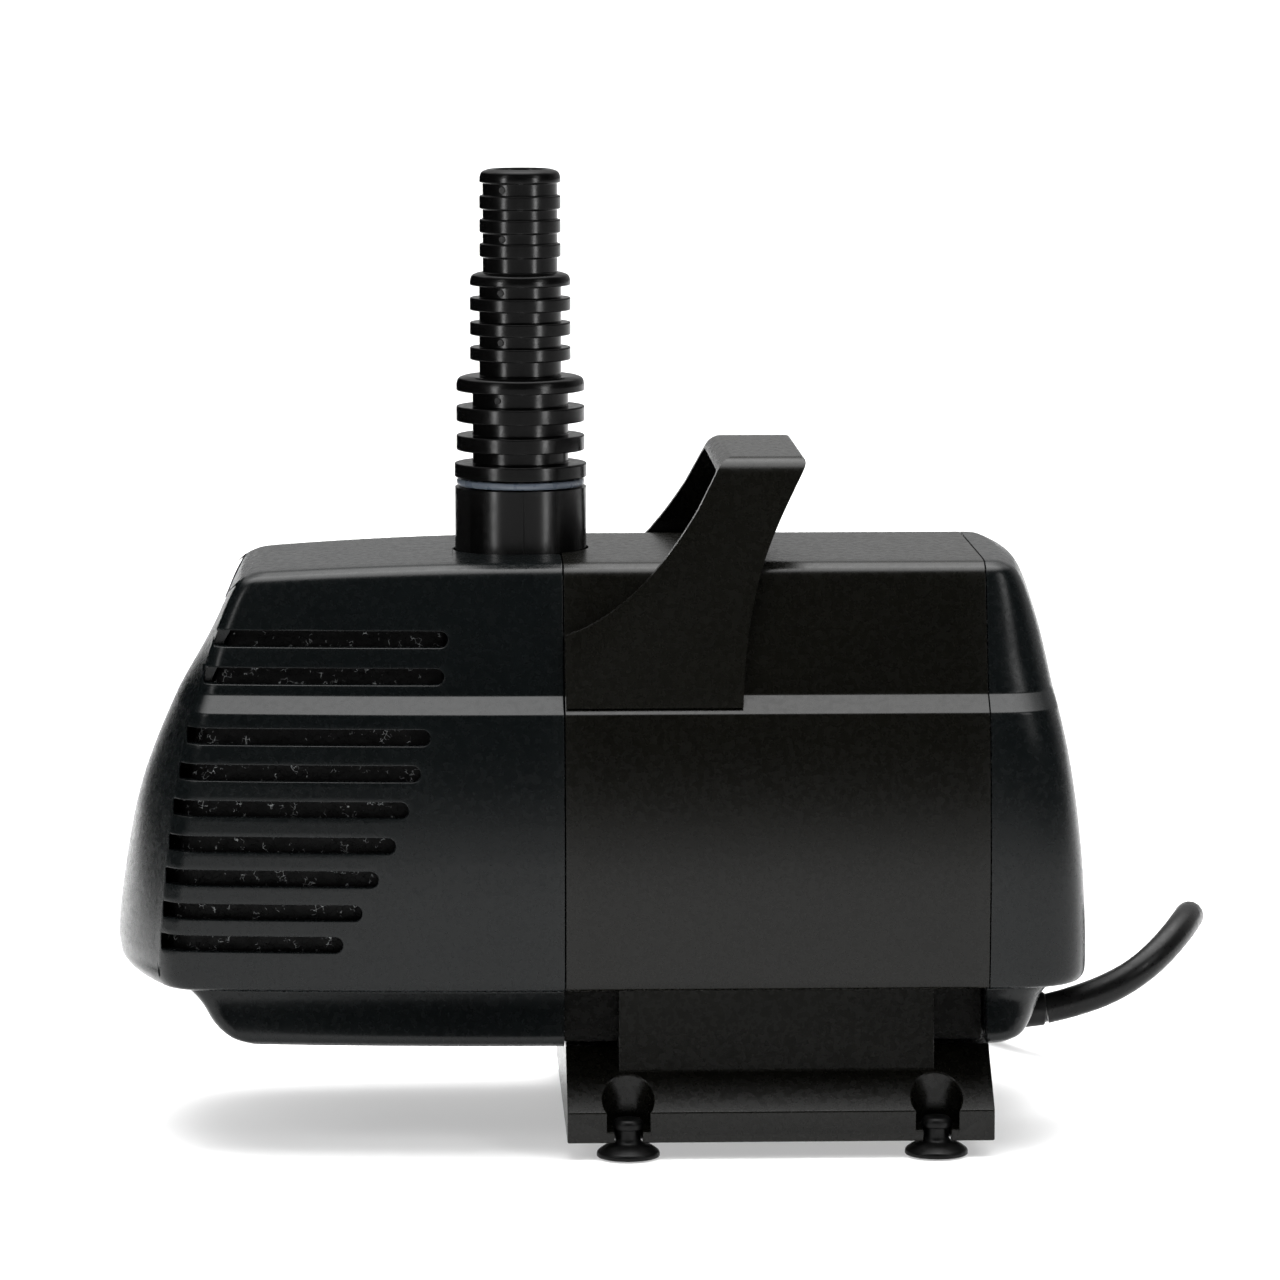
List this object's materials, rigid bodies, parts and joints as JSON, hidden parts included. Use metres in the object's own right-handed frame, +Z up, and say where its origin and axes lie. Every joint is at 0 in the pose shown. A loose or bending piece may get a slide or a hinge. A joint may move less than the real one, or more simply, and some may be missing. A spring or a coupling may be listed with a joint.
{
  "type": "fountain submersible pump",
  "caption": "Submersible fountain pump with a slotted intake cage, carrying handle, stepped hose tail, suction-cup foot and a coiled mains cord; magnet-driven rotor and impeller inside.",
  "frame": {"origin": "centre of the bounding box's underside without the cord: on the resting surface, under the middle of the pump", "axes": "+Z up along the hose tail, -X towards the nose of the intake cage, +X towards the rear cap and the cord, Y across the pump"},
  "size_m": [0.2767, 0.2287, 0.238],
  "materials": {
    "cage_plastic": "moulded polypropylene, black, fine grain",
    "housing_plastic": "moulded polypropylene, black, satin",
    "tail_plastic": "moulded ABS, black, semi-gloss",
    "gasket_silicone": "blue-grey silicone, glossy",
    "foam": "open-cell filter foam, black",
    "black_rubber": "black rubber, matte",
    "impeller_plastic": "moulded acetal, off-white",
    "ferrite": "sintered ferrite magnet, dark grey",
    "ceramic": "polished ceramic, white",
    "carbon": "filled bearing plastic, dark grey",
    "lamination": "stamped silicon steel",
    "bobbin": "moulded nylon, natural",
    "copper": "enamelled copper wire",
    "resin": "moulded case and cast epoxy, black",
    "stainless": "stainless steel",
    "brass": "brass",
    "cord_pvc": "black flexible PVC, satin",
    "tie": "black moulded tie"
  },
  "bodies": {
    "pump": {"rear_cap": "cage_plastic", "motor_housing": "housing_plastic", "handle": "housing_plastic", "base_plate": "housing_plastic", "volute": "tail_plastic", "volute_cover": "tail_plastic", "rotor_shaft": "ceramic", "front_shaft_mount": "black_rubber", "rear_shaft_mount": "black_rubber", "chamber_o_ring": "black_rubber", "cord_gland": "black_rubber", "motor_case": "resin", "potting_resin": "resin", "stator_core": "lamination", "bobbin_left": "bobbin", "bobbin_right": "bobbin", "winding_left": "copper", "winding_right": "copper", "inner_lead": "cord_pvc", "power_cord": "cord_pvc", "cord_coil": "cord_pvc", "coil_tie": "tie", "plug_body": "black_rubber", "plug_blade_left": "brass", "plug_blade_right": "brass", "plug_earth_pin": "brass", "chamber_screw_1": "stainless", "base_screw_1": "stainless", "chamber_screw_2": "stainless", "base_screw_2": "stainless", "chamber_screw_3": "stainless", "base_screw_3": "stainless", "chamber_screw_4": "stainless", "base_screw_4": "stainless", "suction_cup_front_left": "black_rubber", "suction_cup_front_right": "black_rubber", "suction_cup_rear_left": "black_rubber", "suction_cup_rear_right": "black_rubber"},
    "cage": {"front_cage": "cage_plastic", "filter_foam": "foam"},
    "rotor": {"rotor_magnet": "ferrite", "front_bearing": "carbon", "rear_bearing": "carbon"},
    "impeller": {"impeller": "impeller_plastic"},
    "tail_nut": {"outlet_gasket": "gasket_silicone"},
    "hose_tail": {"hose_adapter": "tail_plastic"}
  },
  "joints": [
    {"name": "cage_slide", "type": "slide", "parent": "pump", "child": "cage", "axis": [-1, 0, 0], "range_m": [0, 0.13]},
    {"name": "rotor_spin", "type": "hinge", "parent": "pump", "child": "rotor", "pos_m": [0.02, 0, 0.096], "axis": [1, 0, 0], "continuous": true},
    {"name": "impeller_lash", "type": "hinge", "parent": "rotor", "child": "impeller", "pos_m": [-0.015, 0, 0.096], "axis": [1, 0, 0], "range_deg": [-122, 122]},
    {"name": "tail_lift", "type": "slide", "parent": "pump", "child": "tail_nut", "axis": [0, 0, 1], "range_m": [0, 0.012]},
    {"name": "hose_tail_turn", "type": "hinge", "parent": "tail_nut", "child": "hose_tail", "pos_m": [-0.019, 0, 0.17], "axis": [0, 0, 1], "range_deg": [0, 1440]}
  ],
  "couplings": [
    {"joint": "tail_lift", "follows": "hose_tail_turn", "m_per_rad": 0.000477}
  ]
}
